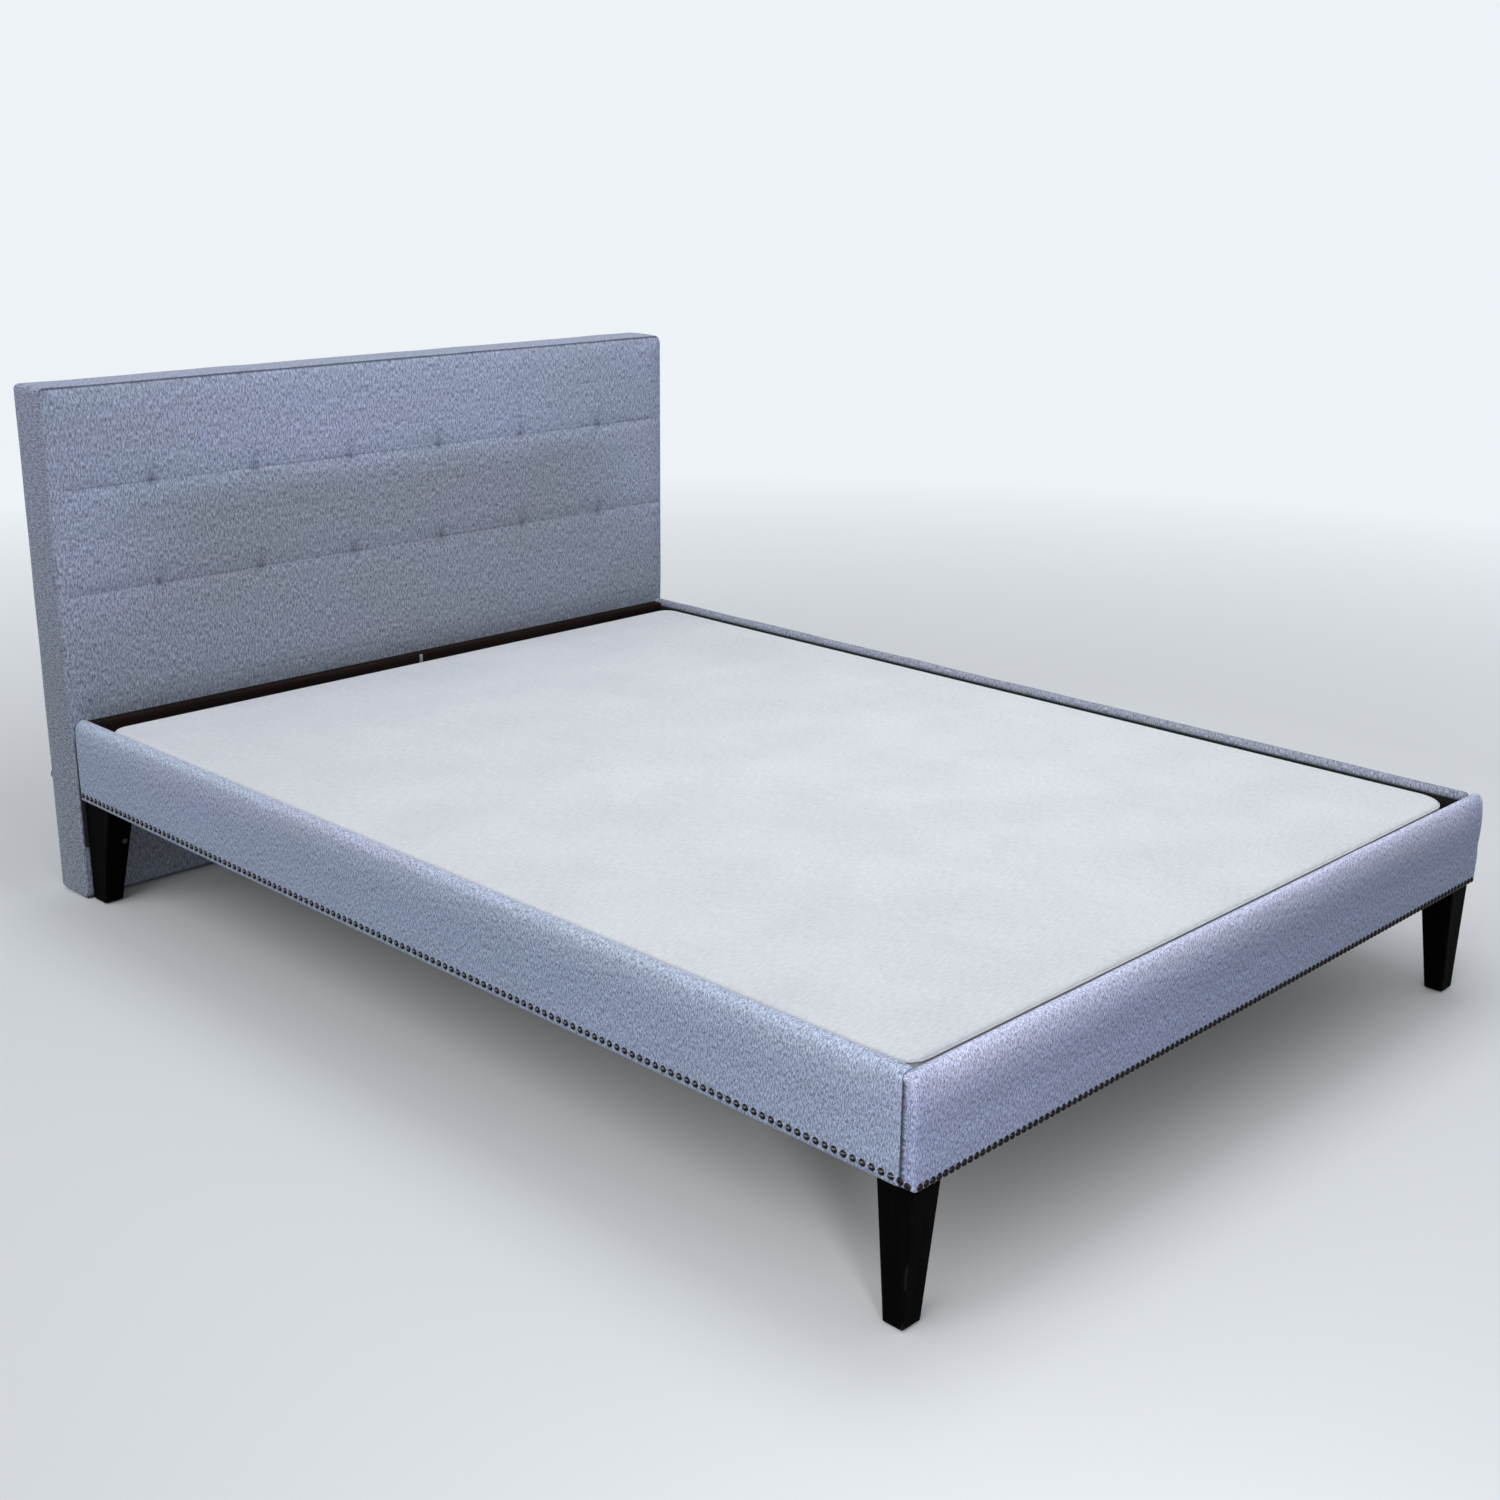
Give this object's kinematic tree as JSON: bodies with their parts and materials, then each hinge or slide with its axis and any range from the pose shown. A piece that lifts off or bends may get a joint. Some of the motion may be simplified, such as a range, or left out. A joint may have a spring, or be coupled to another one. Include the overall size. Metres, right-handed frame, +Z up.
{
  "type": "upholstered headboard bed",
  "caption": "Queen bed with a tufted grey-blue fabric headboard, padded rails with nailhead trim, tapered dark legs and a lift-out fabric-covered foundation.",
  "frame": {"origin": "on the floor, in the middle of the bed's footprint", "axes": "+Z up, +Y towards the headboard, +X to the right when standing at the foot and looking at the headboard"},
  "size_m": [1.612, 2.2966, 1.037],
  "materials": {
    "upholstery_fabric": "matte",
    "foam": "matte",
    "pine": "matte",
    "plywood": "matte",
    "back_cloth": "matte",
    "twine": "matte",
    "black_nylon": "satin",
    "black_rubber": "matte",
    "black_steel": "satin",
    "zinc_steel": "satin",
    "espresso_wood": "satin",
    "bronze_nails": "satin",
    "ticking": "matte",
    "felt": "matte",
    "hardboard": "matte"
  },
  "bodies": {
    "frame": {"headboard_cover": "upholstery_fabric", "headboard_foam": "foam", "headboard_stile_left": "pine", "headboard_stile_right": "pine", "headboard_bottom_rail": "pine", "headboard_middle_rail": "pine", "headboard_top_rail": "pine", "headboard_front_panel": "plywood", "headboard_back_panel": "back_cloth", "headboard_tuft_ties": "twine", "headboard_glides": "black_nylon", "headboard_wall_bumpers": "black_rubber", "head_brackets": "black_steel", "head_bracket_bolts": "zinc_steel", "head_crossbar": "espresso_wood", "foot_ledger": "pine", "side_ledger_left": "pine", "side_ledger_right": "pine", "foot_corner_blocks": "pine", "foot_leg_left": "espresso_wood", "foot_leg_right": "espresso_wood", "head_leg_left": "espresso_wood", "head_leg_right": "espresso_wood", "leg_hanger_bolts": "zinc_steel", "leg_glides": "black_nylon", "centre_beam": "pine", "beam_hangers": "zinc_steel", "centre_leg_foot": "pine", "centre_leg_head": "pine", "frame_screws": "zinc_steel", "slat_1": "pine", "slat_2": "pine", "slat_3": "pine", "slat_4": "pine", "side_rail_left_board": "plywood", "side_rail_left_foam": "foam", "side_rail_left_cover": "upholstery_fabric", "side_rail_left_nails": "bronze_nails", "side_rail_left_lining": "back_cloth", "side_rail_right_board": "plywood", "side_rail_right_foam": "foam", "side_rail_right_cover": "upholstery_fabric", "side_rail_right_nails": "bronze_nails", "side_rail_right_lining": "back_cloth", "foot_rail_board": "plywood", "foot_rail_foam": "foam", "foot_rail_cover": "upholstery_fabric", "foot_rail_nails": "bronze_nails", "foot_rail_lining": "back_cloth"},
    "foundation": {"foundation_ticking": "ticking", "foundation_dust_cover": "back_cloth", "foundation_pad": "felt", "foundation_top_board": "hardboard", "foundation_side_rail_left": "pine", "foundation_side_rail_right": "pine", "foundation_foot_rail": "pine", "foundation_head_rail": "pine", "foundation_cross_slats": "pine", "foundation_corner_blocks": "pine"},
    "leveller_pad_foot": {"leveller_pad_foot": "black_nylon"},
    "leveller_pad_head": {"leveller_pad_head": "black_nylon"},
    "leveller_stem_foot": {"leveller_stem_foot": "zinc_steel"},
    "leveller_stem_head": {"leveller_stem_head": "zinc_steel"}
  },
  "joints": [
    {"name": "foundation_lift", "type": "slide", "parent": "frame", "child": "foundation", "axis": [0, 0, 1], "range_m": [0, 0.25]},
    {"name": "leveller_foot_travel", "type": "slide", "parent": "frame", "child": "leveller_pad_foot", "axis": [0, 0, -1], "range_m": [0, 0.012]},
    {"name": "leveller_foot_turn", "type": "hinge", "parent": "leveller_pad_foot", "child": "leveller_stem_foot", "pos_m": [0, -0.39137, 0.02], "axis": [0, 0, -1], "range_deg": [0, 2881]},
    {"name": "leveller_head_travel", "type": "slide", "parent": "frame", "child": "leveller_pad_head", "axis": [0, 0, -1], "range_m": [0, 0.012]},
    {"name": "leveller_head_turn", "type": "hinge", "parent": "leveller_pad_head", "child": "leveller_stem_head", "pos_m": [0, 0.30747, 0.02], "axis": [0, 0, -1], "range_deg": [0, 2881]}
  ],
  "couplings": [
    {"joint": "leveller_foot_turn", "follows": "leveller_foot_travel", "rad_per_m": 4188.8},
    {"joint": "leveller_head_turn", "follows": "leveller_head_travel", "rad_per_m": 4188.8}
  ]
}
